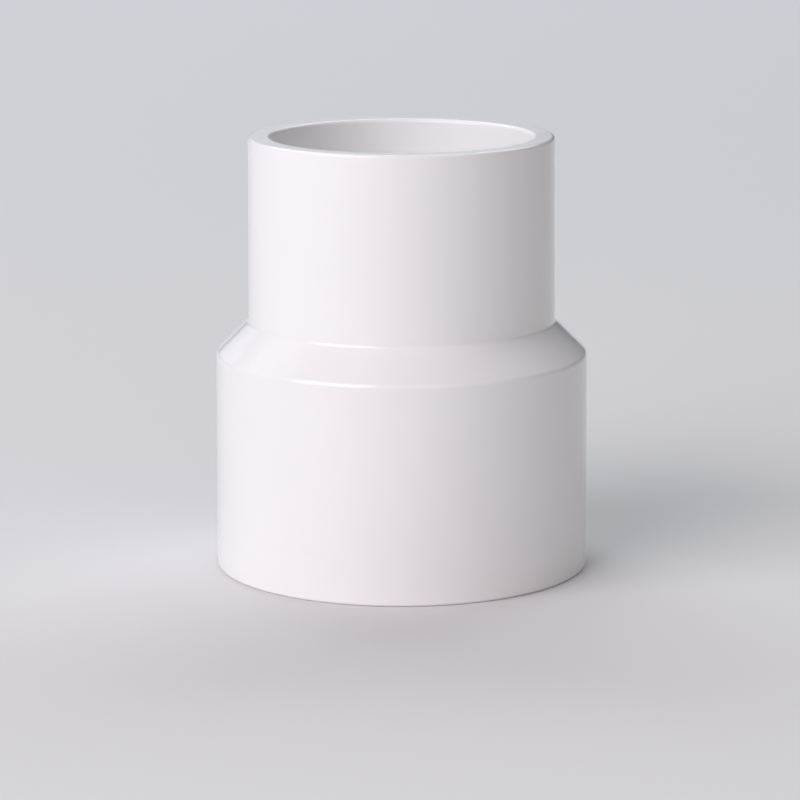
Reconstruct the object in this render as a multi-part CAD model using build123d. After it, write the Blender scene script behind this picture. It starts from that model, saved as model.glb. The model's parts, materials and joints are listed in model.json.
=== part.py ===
from build123d import *
import math
import os

# Concentric reducing coupling for solvent-cement PVC pressure pipe, 50 mm to 40 mm.
#
# The fitting is one injection moulding with nothing fixed to it and nothing inside it,
# so the model is one closed solid. It stands on its large mouth: +Z is the axis of both
# sockets, and the origin is the centre of the large mouth's end face. A 50 mm pipe enters
# from below, a 40 mm pipe from above, and each stops against its own ledge.
# All sizes are in millimetres, and every width across the wall is measured on the radius.

# Pipes that the fitting joins: outside diameter, and the wall that a ledge has to cover
LARGE_PIPE = 50.0
LARGE_PIPE_WALL = 2.4
SMALL_PIPE = 40.0
SMALL_PIPE_WALL = 1.9

# Sockets, by the usual rules for solvent-cement pressure fittings
SOCKET_ALLOWANCE = 0.2  # the bore is this much wider than the pipe
DEPTH_SHARE = 0.5  # a socket is this share of the pipe's diameter deep, plus DEPTH_BASE
DEPTH_BASE = 6.0

# Outside of the moulding, from the large mouth up
LARGE_BODY_LENGTH = 33.5
SHOULDER_LENGTH = 4.9
SHOULDER_WIDTH = 5.0
SMALL_BODY_LENGTH = 28.7
SMALL_MOUTH_WALL = 3.45
DRAFT = 0.4  # degrees: both bodies widen this much towards the large mouth

# Waterway between the two ledges: a cone, then a short straight throat
THROAT_LENGTH = 3.0

# Corner radii
MOUTH_OUTER_EDGE = 0.45
MOUTH_INNER_EDGE = 0.6
SHOULDER_FOOT = 1.1
SHOULDER_HEAD = 0.8
LEDGE_ROOT = 0.3
LEDGE_LIP = 0.4
THROAT_BEND = 2.0

# Worked out from the sizes above
LARGE_BORE = (LARGE_PIPE + SOCKET_ALLOWANCE) / 2
SMALL_BORE = (SMALL_PIPE + SOCKET_ALLOWANCE) / 2
LARGE_DEPTH = DEPTH_SHARE * LARGE_PIPE + DEPTH_BASE
SMALL_DEPTH = DEPTH_SHARE * SMALL_PIPE + DEPTH_BASE
LARGE_PIPE_BORE = LARGE_PIPE / 2 - LARGE_PIPE_WALL
SMALL_PIPE_BORE = SMALL_PIPE / 2 - SMALL_PIPE_WALL

SHOULDER_FOOT_HEIGHT = LARGE_BODY_LENGTH
SHOULDER_HEAD_HEIGHT = SHOULDER_FOOT_HEIGHT + SHOULDER_LENGTH
HEIGHT = SHOULDER_HEAD_HEIGHT + SMALL_BODY_LENGTH
SMALL_LEDGE_HEIGHT = HEIGHT - SMALL_DEPTH
THROAT_HEIGHT = SMALL_LEDGE_HEIGHT - THROAT_LENGTH

WIDENING = math.tan(math.radians(DRAFT))
SMALL_MOUTH_OUTSIDE = SMALL_BORE + SMALL_MOUTH_WALL
SHOULDER_HEAD_OUTSIDE = SMALL_MOUTH_OUTSIDE + WIDENING * SMALL_BODY_LENGTH
SHOULDER_FOOT_OUTSIDE = SHOULDER_HEAD_OUTSIDE + SHOULDER_WIDTH
LARGE_MOUTH_OUTSIDE = SHOULDER_FOOT_OUTSIDE + WIDENING * LARGE_BODY_LENGTH


def outside_corners():
    """The outside's corners from the large mouth up, each (radius, height, corner radius)."""
    return [
        (LARGE_MOUTH_OUTSIDE, 0, MOUTH_OUTER_EDGE),
        (SHOULDER_FOOT_OUTSIDE, SHOULDER_FOOT_HEIGHT, SHOULDER_FOOT),
        (SHOULDER_HEAD_OUTSIDE, SHOULDER_HEAD_HEIGHT, SHOULDER_HEAD),
        (SMALL_MOUTH_OUTSIDE, HEIGHT, MOUTH_OUTER_EDGE),
    ]


def inside_corners():
    """The inside's corners from the small mouth down, in the same form."""
    return [
        (SMALL_BORE, HEIGHT, MOUTH_INNER_EDGE),
        (SMALL_BORE, SMALL_LEDGE_HEIGHT, LEDGE_ROOT),
        (SMALL_PIPE_BORE, SMALL_LEDGE_HEIGHT, LEDGE_LIP),
        (SMALL_PIPE_BORE, THROAT_HEIGHT, THROAT_BEND),
        (LARGE_PIPE_BORE, LARGE_DEPTH, LEDGE_LIP),
        (LARGE_BORE, LARGE_DEPTH, LEDGE_ROOT),
        (LARGE_BORE, 0, MOUTH_INNER_EDGE),
    ]


def reducer_body():
    """The whole moulding: the wall's section, with its corners rounded, turned about +Z."""
    corners = outside_corners() + inside_corners()
    points = [(radius, height) for radius, height, _ in corners]
    roundings = [rounding for _, _, rounding in corners]
    with BuildPart() as moulding:
        with BuildSketch(Plane.XZ):
            with BuildLine():
                FilletPolyline(points, radius=roundings, close=True)
            make_face()
        revolve(axis=Axis.Z)
    return moulding.part


os.makedirs("parts", exist_ok=True)
export_step(reducer_body(), "parts/reducer_body.step")
print(f"{HEIGHT:.1f} mm high, {2 * LARGE_MOUTH_OUTSIDE:.2f} mm across the large mouth")
print(f"{2 * SMALL_MOUTH_OUTSIDE:.2f} mm across the small mouth")
print(f"sockets {LARGE_DEPTH:.0f} and {SMALL_DEPTH:.0f} mm deep")
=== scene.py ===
# %% [markdown]
# # A reducing coupling in white PVC
#
# The object is a plumbing fitting: a short stepped tube that joins a 50 mm pipe to a 40 mm pipe. Both pipes
# are glued in with solvent cement. It is one injection moulding, so there is one piece to make, and
# everything depends on two things: a wall that is truly round with soft, exact edges, and a plastic that is
# white without looking like paper or paint.
#
# Every length is in metres, as Blender has it, and a size that a maker would give in millimetres is written
# with MM after it.

# %% Tools and units
import json
import math

import bpy
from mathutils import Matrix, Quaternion, Vector


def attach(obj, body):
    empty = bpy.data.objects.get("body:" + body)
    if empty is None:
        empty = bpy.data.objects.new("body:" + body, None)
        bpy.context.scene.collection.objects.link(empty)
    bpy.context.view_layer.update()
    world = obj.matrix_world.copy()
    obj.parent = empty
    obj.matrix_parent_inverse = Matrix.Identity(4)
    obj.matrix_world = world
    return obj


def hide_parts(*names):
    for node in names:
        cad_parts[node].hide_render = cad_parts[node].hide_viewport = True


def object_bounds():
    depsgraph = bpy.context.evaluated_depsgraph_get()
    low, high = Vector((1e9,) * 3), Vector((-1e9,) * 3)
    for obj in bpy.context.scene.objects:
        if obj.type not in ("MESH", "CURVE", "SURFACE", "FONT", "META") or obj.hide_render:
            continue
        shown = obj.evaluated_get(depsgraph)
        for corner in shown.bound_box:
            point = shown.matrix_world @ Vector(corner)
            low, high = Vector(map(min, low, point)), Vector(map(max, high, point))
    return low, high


MM = 0.001
UM = 0.000001
scene = bpy.context.scene

# %% [markdown]
# ## The frame
#
# The designed part comes first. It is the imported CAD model, with +Z along the axis of both sockets and its
# origin in the middle of the large mouth, on which the fitting stands. Its record names the two sockets with
# their bores and depths. These numbers are read here and not typed again, so the looks always fit the design.

# %% Load the frame
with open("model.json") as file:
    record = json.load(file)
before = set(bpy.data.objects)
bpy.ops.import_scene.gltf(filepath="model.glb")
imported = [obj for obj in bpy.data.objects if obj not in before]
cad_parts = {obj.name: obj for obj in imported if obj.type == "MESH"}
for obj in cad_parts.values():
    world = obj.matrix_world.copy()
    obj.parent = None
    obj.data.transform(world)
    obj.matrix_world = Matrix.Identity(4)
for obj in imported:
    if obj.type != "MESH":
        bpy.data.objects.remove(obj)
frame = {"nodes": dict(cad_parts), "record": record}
cad_low, cad_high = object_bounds()
mounts = {mount["name"]: mount for mount in frame["record"]["mounts"]}


def socket(name):
    """The bore's radius and the depth of one socket, in metres."""
    sizes = mounts[name]["dims"]
    return sizes["r_mm"] * MM, sizes["length_mm"] * MM


small_bore, small_depth = socket("small_socket")
large_bore, large_depth = socket("large_socket")
height = cad_high.z
print(f"height {height / MM:.1f} mm, bores {2 * large_bore / MM:.1f} and {2 * small_bore / MM:.1f} mm")

# %% [markdown]
# ## The wall's outline
#
# The mould for such a fitting is turned on a lathe, and so is this mesh: an outline of the wall, cut through
# one side, is swung about the axis. The designed solid could be shown as it is, but its surface was cut into
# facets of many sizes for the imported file, and gloss shows such facets at every soft edge. A cylinder with a
# bevel modifier would give even facets, but one bevel width for all edges. An outline of our own gives each
# corner its own radius.
#
# The outline is a list of corners, each with its radius from the axis, its height and its rounding. It goes
# up the outside first, over the small rim, and then down the inside. Both bodies narrow a little towards
# their upper ends. This is the draft that lets the moulding slide out of its mould.

# %% Sizes of the wall
DRAFT = math.radians(0.4)
SMALL_MOUTH_WALL = 3.45 * MM
SHOULDER_FOOT_HEIGHT = 33.5 * MM
SHOULDER_HEAD_HEIGHT = 38.4 * MM
SHOULDER_WIDTH = 5.0 * MM
LARGE_LEDGE_WIDTH = 2.5 * MM
SMALL_LEDGE_WIDTH = 2.0 * MM
THROAT_LENGTH = 3.0 * MM

small_mouth_outside = small_bore + SMALL_MOUTH_WALL
shoulder_head_outside = small_mouth_outside + (height - SHOULDER_HEAD_HEIGHT) * math.tan(DRAFT)
shoulder_foot_outside = shoulder_head_outside + SHOULDER_WIDTH
large_mouth_outside = shoulder_foot_outside + SHOULDER_FOOT_HEIGHT * math.tan(DRAFT)
small_ledge_height = height - small_depth
throat = small_bore - SMALL_LEDGE_WIDTH
print(f"{2 * large_mouth_outside / MM:.2f} mm across the large mouth")

# %% Corners of the wall
MOUTH_OUTER_EDGE = 0.45 * MM
MOUTH_INNER_EDGE = 0.6 * MM
SHOULDER_FOOT_EDGE = 1.1 * MM
SHOULDER_HEAD_EDGE = 0.8 * MM
LEDGE_ROOT = 0.3 * MM
LEDGE_LIP = 0.4 * MM
THROAT_BEND = 2.0 * MM

outside = [
    (large_mouth_outside, 0, MOUTH_OUTER_EDGE),
    (shoulder_foot_outside, SHOULDER_FOOT_HEIGHT, SHOULDER_FOOT_EDGE),
    (shoulder_head_outside, SHOULDER_HEAD_HEIGHT, SHOULDER_HEAD_EDGE),
    (small_mouth_outside, height, MOUTH_OUTER_EDGE),
]
inside = [
    (small_bore, height, MOUTH_INNER_EDGE),
    (small_bore, small_ledge_height, LEDGE_ROOT),
    (throat, small_ledge_height, LEDGE_LIP),
    (throat, small_ledge_height - THROAT_LENGTH, THROAT_BEND),
    (large_bore - LARGE_LEDGE_WIDTH, large_depth, LEDGE_LIP),
    (large_bore, large_depth, LEDGE_ROOT),
    (large_bore, 0, MOUTH_INNER_EDGE),
]
print(len(outside), "corners outside and", len(inside), "inside")

# %% [markdown]
# ## Rounding a corner
#
# Each corner becomes an arc that meets both straight runs without a kink. Two things come out of it: the
# arc's points, and the way that the surface faces at each of them. The second is worth keeping. Blender can
# guess it from the faces, but next to a tight edge the guess tips the long straight wall a little too, and
# on glossy plastic that shows as a false band of shade. With exact directions a flat wall shades flat up to
# the very start of its edge.

# %% Round one corner
TURN_PER_STEP = math.radians(9)
FEWEST_STEPS = 3


def rounded(before, corner, after, rounding):
    """The arc that rounds a corner, as (point, the way the wall faces there) for each step."""
    back = (before - corner).normalized()
    ahead = (after - corner).normalized()
    half = back.angle(ahead) / 2
    centre = corner + (back + ahead).normalized() * rounding / math.sin(half)
    turn = math.pi - 2 * half
    side = 1 if back.cross(ahead) < 0 else -1
    steps = max(FEWEST_STEPS, math.ceil(turn / TURN_PER_STEP))
    spoke = corner + back * rounding / math.tan(half) - centre
    arc = []
    for step in range(steps + 1):
        angle = side * turn * step / steps
        cosine, sine = math.cos(angle), math.sin(angle)
        reach = Vector((spoke.x * cosine - spoke.y * sine, spoke.x * sine + spoke.y * cosine))
        arc.append((centre + reach, reach.normalized() * side))
    return arc


# %% Round the whole outline
def round_all(corners):
    """The closed outline as rows, one for each arc's point: (point, facing, number of its corner)."""
    points = [Vector((radius, rise)) for radius, rise, _ in corners]
    rows = []
    for number, (_, _, rounding) in enumerate(corners):
        after = points[(number + 1) % len(points)]
        for point, facing in rounded(points[number - 1], points[number], after, rounding):
            rows.append((point, facing, number))
    return rows


rows = round_all(outside + inside)
print(len(rows), "rows in the wall's outline")

# %% [markdown]
# ## Turning the wall
#
# The outline is swung about Z in even steps, and each pair of neighbouring rows becomes a ring of four-sided
# faces. Blender's Screw modifier does the same, but a loop of our own also knows which ring is which. The
# plastic has three finishes, because three parts of the mould make it: the polished cavity makes the outside,
# the turned core pins make the sockets, and the faces of the mould's end rings make the two rims. Each ring
# of faces gets the number of its finish here.

# %% Turn the outline about the axis
SEGMENTS = 240
FINISHES = ["polished_outside", "turned_inside", "parted_rim"]


def finish_of(first, second):
    """Which finish a ring of faces has, from the corners that its two rows belong to."""
    belongs = {row[2] >= len(outside) for row in (first, second)}
    if belongs == {False}:
        return FINISHES.index("polished_outside")
    if belongs == {True}:
        return FINISHES.index("turned_inside")
    return FINISHES.index("parted_rim")


def turned(name, outline):
    """A mesh made by turning an outline's rows about Z, with its exact normals and each face's finish."""
    vertices, normals, faces, finishes = [], [], [], []
    for segment in range(SEGMENTS):
        angle = 2 * math.pi * segment / SEGMENTS
        cosine, sine = math.cos(angle), math.sin(angle)
        for point, facing, _ in outline:
            vertices.append((point.x * cosine, point.x * sine, point.y))
            normals.append((facing.x * cosine, facing.x * sine, facing.y))
        here, there = segment * len(outline), (segment + 1) % SEGMENTS * len(outline)
        for low in range(len(outline)):
            high = (low + 1) % len(outline)
            faces.append((here + low, there + low, there + high, here + high))
            finishes.append(finish_of(outline[low], outline[high]))
    mesh = bpy.data.meshes.new(name)
    mesh.from_pydata(vertices, [], faces)
    mesh.polygons.foreach_set("material_index", finishes)
    mesh.shade_smooth()
    mesh.normals_split_custom_set_from_vertices(normals)
    mesh.validate()
    return mesh


reducer = bpy.data.objects.new("reducer_wall", turned("reducer_wall", rows))
scene.collection.objects.link(reducer)
print(len(reducer.data.polygons), "faces in the turned wall")

# %% [markdown]
# ## Is it the same wall?
#
# The turned wall stands in for the designed solid, so it has to be the same size. Every vertex of the
# designed mesh should lie on the new outline. The largest gap found is printed, and it should be a few
# hundredths of a millimetre at most.

# %% Measure it against the designed solid
def gap_to_outline(radius, rise):
    """How far a point of the wall's section is from the outline."""
    place = Vector((radius, rise))
    nearest = math.inf
    for number, (point, _, _) in enumerate(rows):
        run = point - rows[number - 1][0]
        share = (place - rows[number - 1][0]).dot(run) / run.length_squared
        foot = rows[number - 1][0] + run * min(1, max(0, share))
        nearest = min(nearest, (place - foot).length)
    return nearest


solid = frame["nodes"]["reducer_body"]
sections = {(round(v.co.xy.length, 6), round(v.co.z, 6)) for v in solid.data.vertices}
widest_gap = max(gap_to_outline(radius, rise) for radius, rise in sections)
print(f"largest gap to the designed solid {widest_gap / MM:.3f} mm")

# %% Put it in the frame
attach(reducer, "root")
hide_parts("reducer_body")
print("the turned wall stands in for reducer_body")

# %% [markdown]
# ## What the plastic's surface is like
#
# Rigid PVC is filled with white pigment to its core, so hardly any light goes through it, and its surface
# has a clear gloss like a fingernail. Three small things keep it from looking like a computer's plastic:
#
# - The hot plastic shrinks unevenly as it sets, so a glossy wall is never quite flat. It has slow waves, many
#   millimetres long and about a hundredth high, that make a reflection's edge wander.
# - The pigment and the gloss are a little uneven, in clouds drawn out along the way the plastic flowed.
# - Turned steel leaves fine rings, which a core pin or an end ring prints into the plastic.
#
# Each of these is wanted in more than one finish, so each is made once as a node group with named sockets
# and placed in a material with its own values. Heights inside the groups are real lengths. The Bump node
# that reads them keeps a Distance of 1, and a depth of 4 UM is then four thousandths of a millimetre.

# %% Helpers for node groups
def new_group(name, inputs, output):
    """An empty shader group with number inputs and one number output, and its two end nodes."""
    group = bpy.data.node_groups.new(name, "ShaderNodeTree")
    for label, value in inputs.items():
        made = group.interface.new_socket(label, in_out="INPUT", socket_type="NodeSocketFloat")
        made.default_value = value
    group.interface.new_socket(output, in_out="OUTPUT", socket_type="NodeSocketFloat")
    return group, group.nodes.new("NodeGroupInput"), group.nodes.new("NodeGroupOutput")


def maths(tree, operation, first, second):
    """A Math node. Each of its two values is a number or a socket to link."""
    node = tree.nodes.new("ShaderNodeMath")
    node.operation = operation
    for place, value in zip(node.inputs, (first, second)):
        if isinstance(value, bpy.types.NodeSocket):
            tree.links.new(value, place)
        else:
            place.default_value = value
    return node.outputs[0]


def noise(tree, where, detail=1.0):
    """A Noise texture at coordinates that are already divided by its size."""
    node = tree.nodes.new("ShaderNodeTexNoise")
    node.inputs["Scale"].default_value = 1
    node.inputs["Detail"].default_value = detail
    tree.links.new(where, node.inputs["Vector"])
    return node.outputs["Fac"]


def places(tree, size, stretch=1.0):
    """Object coordinates measured in units of size, drawn out along the fitting's axis."""
    coordinates = tree.nodes.new("ShaderNodeTexCoord")
    drawn = tree.nodes.new("ShaderNodeVectorMath")
    drawn.operation = "DIVIDE"
    drawn.inputs[1].default_value = (1, 1, stretch)
    tree.links.new(coordinates.outputs["Object"], drawn.inputs[0])
    scaled = tree.nodes.new("ShaderNodeVectorMath")
    scaled.operation = "SCALE"
    tree.links.new(drawn.outputs["Vector"], scaled.inputs["Vector"])
    tree.links.new(maths(tree, "DIVIDE", 1, size), scaled.inputs["Scale"])
    return scaled.outputs["Vector"]


print("helpers ready")

# %% The shrink waves
def make_shrink_waves():
    """Slow unevenness of a set wall. Size is the length of a wave and Depth its height."""
    group, given, result = new_group("shrink_waves", {"Size": 9 * MM, "Depth": 4 * UM}, "Height")
    wave = noise(group, places(group, given.outputs["Size"]))
    swell = maths(group, "MULTIPLY", wave, given.outputs["Depth"])
    group.links.new(swell, result.inputs["Height"])
    return group


shrink_waves = make_shrink_waves()
print("node group", shrink_waves.name)

# %% The flow clouds
FLOW_STRETCH = 2.5


def make_flow_clouds():
    """A mask of clouds round a middle of 0.5, FLOW_STRETCH times as long along the axis as across it."""
    group, given, result = new_group("flow_clouds", {"Size": 14 * MM, "Contrast": 2.0}, "Cloud")
    cloud = noise(group, places(group, given.outputs["Size"], FLOW_STRETCH), detail=3.0)
    centred = maths(group, "SUBTRACT", cloud, 0.5)
    spread = maths(group, "MULTIPLY", centred, given.outputs["Contrast"])
    group.links.new(maths(group, "ADD", spread, 0.5), result.inputs["Cloud"])
    return group


flow_clouds = make_flow_clouds()
print("node group", flow_clouds.name)

# %% The tool rings
def make_tool_rings():
    """Rings that turned steel prints. Across is the distance measured over the rings."""
    inputs = {"Across": 0.0, "Pitch": 0.5 * MM, "Depth": 1 * UM}
    group, given, result = new_group("tool_rings", inputs, "Height")
    ring = group.nodes.new("ShaderNodeTexNoise")
    ring.noise_dimensions = "1D"
    ring.inputs["Scale"].default_value = 1
    ring.inputs["Detail"].default_value = 2
    turns = maths(group, "DIVIDE", given.outputs["Across"], given.outputs["Pitch"])
    group.links.new(turns, ring.inputs["W"])
    ridge = maths(group, "MULTIPLY", ring.outputs["Fac"], given.outputs["Depth"])
    group.links.new(ridge, result.inputs["Height"])
    return group


tool_rings = make_tool_rings()
print("node group", tool_rings.name)

# %% [markdown]
# ## Three finishes of one plastic
#
# All three share one recipe: white, with the clear gloss that rigid PVC's refractive index of 1.53 gives. A
# mix of a clean white and a slightly greyer, warmer one follows the flow clouds. The gloss follows smaller
# clouds of the same kind. What differs is how smooth the steel was, so each finish has its own range of
# roughness and its own relief.

# %% Shared parts of the plastic
CLEAN_WHITE = (0.900, 0.879, 0.894, 1)
CLOUDY_WHITE = (0.878, 0.857, 0.870, 1)
REFRACTION = 1.53


def placed(tree, group, **values):
    """A node group placed in a material. Its inputs are named with a capital letter in the group."""
    node = tree.nodes.new("ShaderNodeGroup")
    node.node_tree = group
    for name, value in values.items():
        node.inputs[name.capitalize()].default_value = value
    return node


def new_plastic(name, smoothest, dullest):
    """The white PVC with its clouds of colour and gloss, still without relief."""
    material = bpy.data.materials.new(name)
    material.use_nodes = True
    tree = material.node_tree
    shader = tree.nodes["Principled BSDF"]
    shader.inputs["IOR"].default_value = REFRACTION
    tint = tree.nodes.new("ShaderNodeMix")
    tint.data_type = "RGBA"
    tint.inputs["A"].default_value = CLEAN_WHITE
    tint.inputs["B"].default_value = CLOUDY_WHITE
    pigment = placed(tree, flow_clouds, size=14 * MM, contrast=2.0)
    tree.links.new(pigment.outputs["Cloud"], tint.inputs["Factor"])
    tree.links.new(tint.outputs["Result"], shader.inputs["Base Color"])
    gloss = tree.nodes.new("ShaderNodeMapRange")
    gloss.inputs["To Min"].default_value = smoothest
    gloss.inputs["To Max"].default_value = dullest
    haze = placed(tree, flow_clouds, size=6 * MM, contrast=2.0)
    tree.links.new(haze.outputs["Cloud"], gloss.inputs["Value"])
    tree.links.new(gloss.outputs["Result"], shader.inputs["Roughness"])
    return material, tree, shader


def relief(tree, shader, *heights):
    """Adds up heights in metres and gives them to the shader through one Bump node."""
    total = heights[0]
    for extra in heights[1:]:
        total = maths(tree, "ADD", total, extra)
    bump = tree.nodes.new("ShaderNodeBump")
    bump.inputs["Distance"].default_value = 1
    tree.links.new(total, bump.inputs["Height"])
    tree.links.new(bump.outputs["Normal"], shader.inputs["Normal"])


print("the plastic is white", CLEAN_WHITE[:3])

# %% The polished outside
def polished_outside():
    """High gloss from the polished cavity, with slow waves and the faint skin of orange peel."""
    material, tree, shader = new_plastic("polished_outside", smoothest=0.11, dullest=0.15)
    waves = placed(tree, shrink_waves, size=9 * MM, depth=12 * UM)
    peel = placed(tree, shrink_waves, size=1.6 * MM, depth=0.8 * UM)
    relief(tree, shader, waves.outputs["Height"], peel.outputs["Height"])
    return material


# %% The turned inside
def turned_inside():
    """A softer gloss from the core pins, with rings one above another along the axis."""
    material, tree, shader = new_plastic("turned_inside", smoothest=0.28, dullest=0.36)
    place = tree.nodes.new("ShaderNodeTexCoord")
    parts = tree.nodes.new("ShaderNodeSeparateXYZ")
    tree.links.new(place.outputs["Object"], parts.inputs[0])
    rings = placed(tree, tool_rings, pitch=0.7 * MM, depth=1.5 * UM)
    tree.links.new(parts.outputs["Z"], rings.inputs["Across"])
    waves = placed(tree, shrink_waves, size=11 * MM, depth=14 * UM)
    relief(tree, shader, rings.outputs["Height"], waves.outputs["Height"])
    return material


# %% The parted rim
def parted_rim():
    """The two end faces, with rings about the axis from the mould's turned end rings."""
    material, tree, shader = new_plastic("parted_rim", smoothest=0.19, dullest=0.27)
    place = tree.nodes.new("ShaderNodeTexCoord")
    flat = tree.nodes.new("ShaderNodeVectorMath")
    flat.operation = "MULTIPLY"
    flat.inputs[1].default_value = (1, 1, 0)
    tree.links.new(place.outputs["Object"], flat.inputs[0])
    reach = tree.nodes.new("ShaderNodeVectorMath")
    reach.operation = "LENGTH"
    tree.links.new(flat.outputs["Vector"], reach.inputs[0])
    rings = placed(tree, tool_rings, pitch=0.6 * MM, depth=1.2 * UM)
    tree.links.new(reach.outputs["Value"], rings.inputs["Across"])
    relief(tree, shader, rings.outputs["Height"])
    return material


# %% Give the wall its finishes
makers = {"polished_outside": polished_outside, "turned_inside": turned_inside, "parted_rim": parted_rim}
for name in FINISHES:
    reducer.data.materials.append(makers[name]())
print("finishes:", ", ".join(material.name for material in reducer.data.materials))

# %% [markdown]
# ## The floor
#
# A plain pale floor, wide enough that its edge never shows. It is dull, so it holds no second picture of the
# fitting, and it is darker than the plastic, so the white outline stands clear of it.

# %% Lay the floor
FLOOR_WIDTH = 12.0
FLOOR_COLOUR = (0.72, 0.70, 0.71, 1)
FLOOR_ROUGHNESS = 0.9
FLOOR_SHEEN = 0.2

bpy.ops.mesh.primitive_plane_add(size=FLOOR_WIDTH)
floor = bpy.context.object
floor.name = "floor"
paint = bpy.data.materials.new("pale_floor")
paint.use_nodes = True
paint_shader = paint.node_tree.nodes["Principled BSDF"]
paint_shader.inputs["Base Color"].default_value = FLOOR_COLOUR
paint_shader.inputs["Roughness"].default_value = FLOOR_ROUGHNESS
paint_shader.inputs["Specular IOR Level"].default_value = FLOOR_SHEEN
floor.data.materials.append(paint)
print("floor", FLOOR_WIDTH, "m wide")

# %% [markdown]
# ## The light
#
# White plastic shows its shape only by how brightness falls off round it, so the side that the camera sees
# is lit mostly from the left. The key softbox stands in front on that side. It lights two thirds of the
# wall, and its mirror image on the shoulder's two soft corners makes the two short bright lines there. The
# wider the softbox, the longer these lines, and the taller it is, the thicker they get.
#
# The left, front and right softboxes are much dimmer. The left one keeps the left edge bright, and the
# other two lift the shaded side. The two behind work for the rim and the bore. The high one is about as
# bright as the key and shines down into the bore. The low one is dim and is mirrored in the rim, which at
# so flat an angle gives back a third of what it meets. It stands a little to the left, because straight
# behind it would also be mirrored in the right end of the shoulder, which is meant to be dark.
#
# A softbox that is twice as far, twice as large and four times as strong lights the fitting just the same,
# but the floor more evenly. So all of them stand two metres away or more. The sky is nearly black, and adds
# only a trace of blue.

# %% Softboxes
AIM_HEIGHT = 35 * MM


def softbox(name, azimuth, elevation, distance, size, power, colour):
    """A flat lamp that looks at the fitting. Azimuth 0 is in front, and it grows towards the right.

    Both angles are in degrees, distance and size are in metres, and power is in watts.
    """
    turn, rise = math.radians(azimuth), math.radians(elevation)
    away = Vector((math.sin(turn) * math.cos(rise), -math.cos(turn) * math.cos(rise), math.sin(rise)))
    lamp = bpy.data.lights.new(name, "AREA")
    lamp.shape = "RECTANGLE"
    lamp.size, lamp.size_y = size
    lamp.energy = power
    lamp.color = colour
    rig = bpy.data.objects.new(name, lamp)
    rig.location = Vector((0, 0, AIM_HEIGHT)) + away * distance
    rig.rotation_mode = "QUATERNION"
    rig.rotation_quaternion = (-away).to_track_quat("-Z", "Y")
    scene.collection.objects.link(rig)
    print(f"{name}: {power} W")


softbox("key_softbox", -47, 32, 2.0, (1.70, 1.52), 29.2, (1.0, 0.995, 1.0))
softbox("left_softbox", -100, 28, 2.0, (2.2, 1.8), 5.0, (1.0, 1.0, 0.95))
softbox("front_softbox", -20, 45, 2.0, (3.5, 2.5), 14.0, (0.94, 0.82, 1.0))
softbox("right_softbox", 40, 30, 2.0, (2.4, 1.8), 6.4, (1.0, 0.97, 0.76))
softbox("back_softbox", 180, 45, 2.5, (3.2, 1.0), 39.0, (0.87, 0.96, 1.0))
softbox("low_back_softbox", -160, 14, 2.5, (2.1, 0.8), 2.5, (0.85, 0.97, 1.0))

# %% The sky
SKY_COLOUR = (0.015, 0.018, 0.025, 1)

sky = bpy.data.worlds.new("studio")
sky.use_nodes = True
sky.node_tree.nodes["Background"].inputs["Color"].default_value = SKY_COLOUR
scene.world = sky
scene.view_settings.view_transform = "Standard"
print("sky", SKY_COLOUR[:3])

# %% [markdown]
# ## The camera
#
# A long lens from a low angle: half a metre away and a little above the rim, it looks down just enough to
# open the small mouth into a slim ellipse. The long lens keeps both bodies almost free of perspective.

# %% Place the camera
LENS = 155.34  # focal length in millimetres, which is the unit of Blender's cameras
CAMERA_DISTANCE = 527 * MM
CAMERA_ABOVE_RIM = 68.0 * MM
CAMERA_ASIDE = -0.273 * MM
CAMERA_DIP = math.radians(11.74)
CAMERA_ROLL = math.radians(-0.11)

optics = bpy.data.cameras.new("camera")
optics.lens = LENS
camera = bpy.data.objects.new("camera", optics)
camera.location = (CAMERA_ASIDE, -CAMERA_DISTANCE, height + CAMERA_ABOVE_RIM)
camera.rotation_mode = "QUATERNION"
tilt = Quaternion((1, 0, 0), math.pi / 2 - CAMERA_DIP)
camera.rotation_quaternion = tilt @ Quaternion((0, 0, 1), CAMERA_ROLL)
scene.collection.objects.link(camera)
scene.camera = camera
print(f"camera {camera.location.z / MM:.0f} mm above the floor")
